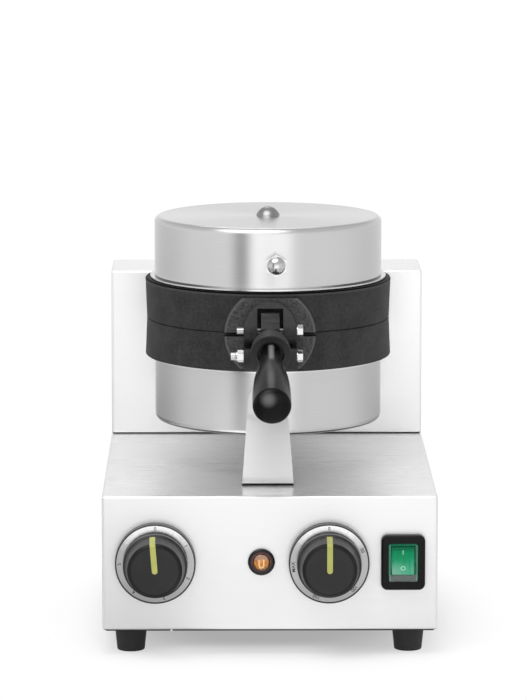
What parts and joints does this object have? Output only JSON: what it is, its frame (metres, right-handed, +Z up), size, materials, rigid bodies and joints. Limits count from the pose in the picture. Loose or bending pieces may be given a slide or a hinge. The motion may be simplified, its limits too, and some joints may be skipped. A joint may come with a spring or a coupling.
{
  "type": "burger press",
  "caption": "Countertop press with two heated round moulds in a hinged head, a latch handle, a timer, a thermostat and a mains switch on a steel base.",
  "frame": {"origin": "middle of the whole press seen from above, on the surface that the feet stand on", "axes": "+Z up, +Y from the front panel to the rear housing, +X to the right as seen from the front"},
  "size_m": [0.25, 0.4544, 0.3206],
  "materials": {
    "casing_steel": "bright brushed stainless sheet",
    "cap_steel": "satin spun stainless steel",
    "cast_black": "cast aluminium, black coated, sand texture",
    "bracket_black": "black painted steel",
    "bright_fasteners": "zinc plated or stainless",
    "heater_steel": "heat-tinted tube",
    "mineral_wool": "pressed wool pad",
    "foot_rubber": "matt",
    "grip_plastic": "semi-gloss thermoset",
    "knob_plastic": "satin",
    "pointer_lime": "satin",
    "dial_plate": "brushed plate with a dark rim",
    "inner_plastic": "moulded",
    "terminal_plastic": "moulded",
    "lamp_bezel": "glossy",
    "lamp_lens": "glossy orange",
    "switch_black": "satin",
    "switch_cover": "clear splash cover",
    "switch_green": "translucent green"
  },
  "bodies": {
    "base": {"base_shell": "casing_steel", "bottom_plate": "casing_steel", "bracket_screws": "bright_fasteners", "case_screws": "bright_fasteners", "catch_bolt": "bright_fasteners", "catch_nut": "bright_fasteners", "conduit_nuts": "bright_fasteners", "conduit_pipe": "bright_fasteners", "cord_gland": "inner_plastic", "foot_front_left": "foot_rubber", "foot_front_right": "foot_rubber", "foot_rear_left": "foot_rubber", "foot_rear_right": "foot_rubber", "foot_screws": "bright_fasteners", "hinge_bracket": "bracket_black", "hinge_clip": "bright_fasteners", "hinge_pin": "bright_fasteners", "lamp_bezel": "lamp_bezel", "lamp_body": "inner_plastic", "lamp_lens": "lamp_lens", "lower_cap": "cap_steel", "lower_dome_nut": "bright_fasteners", "lower_flange": "cap_steel", "lower_heater": "heater_steel", "lower_insulation": "mineral_wool", "lower_plate": "cast_black", "rear_cover": "casing_steel", "rear_housing": "casing_steel", "strip_bolt": "bright_fasteners", "strip_screws": "bright_fasteners", "support_strip": "casing_steel", "switch_body": "inner_plastic", "switch_cover": "switch_cover", "switch_frame": "switch_black", "terminal_block": "terminal_plastic", "thermostat_body": "inner_plastic", "thermostat_dial": "dial_plate", "thermostat_probe": "bright_fasteners", "timer_body": "inner_plastic", "timer_dial": "dial_plate"},
    "lid": {"upper_plate": "cast_black", "upper_flange": "cap_steel", "upper_cap": "cap_steel", "upper_heater": "heater_steel", "upper_insulation": "mineral_wool", "top_screw": "bright_fasteners", "upper_stud": "bright_fasteners", "upper_dome_nut": "bright_fasteners", "pivot_bolt": "bright_fasteners"},
    "handle": {"handle_bracket": "cast_black", "handle_rod": "bright_fasteners", "handle_grip": "grip_plastic"},
    "timer_knob": {"timer_knob": "knob_plastic", "timer_pointer": "pointer_lime", "timer_shaft": "bright_fasteners"},
    "thermostat_knob": {"thermostat_knob": "knob_plastic", "thermostat_pointer": "pointer_lime", "thermostat_shaft": "bright_fasteners"},
    "rocker": {"switch_rocker": "switch_green"}
  },
  "joints": [
    {"name": "lid_hinge", "type": "hinge", "parent": "base", "child": "lid", "pos_m": [0, 0.1264, 0.26215], "axis": [-1, 0, 0], "range_deg": [0, 100]},
    {"name": "handle_latch", "type": "hinge", "parent": "lid", "child": "handle", "pos_m": [0.0006, -0.0896, 0.24065], "axis": [-1, 0, 0], "range_deg": [0, 70]},
    {"name": "timer_turn", "type": "hinge", "parent": "base", "child": "timer_knob", "pos_m": [-0.0852, -0.1276, 0.0725], "axis": [0, 1, 0], "range_deg": [0, 275]},
    {"name": "thermostat_turn", "type": "hinge", "parent": "base", "child": "thermostat_knob", "pos_m": [0.044, -0.1276, 0.0725], "axis": [0, 1, 0], "range_deg": [0, 265]},
    {"name": "rocker_tilt", "type": "hinge", "parent": "base", "child": "rocker", "pos_m": [0.0992, -0.1236, 0.0725], "axis": [1, 0, 0], "range_deg": [0, 16]}
  ]
}
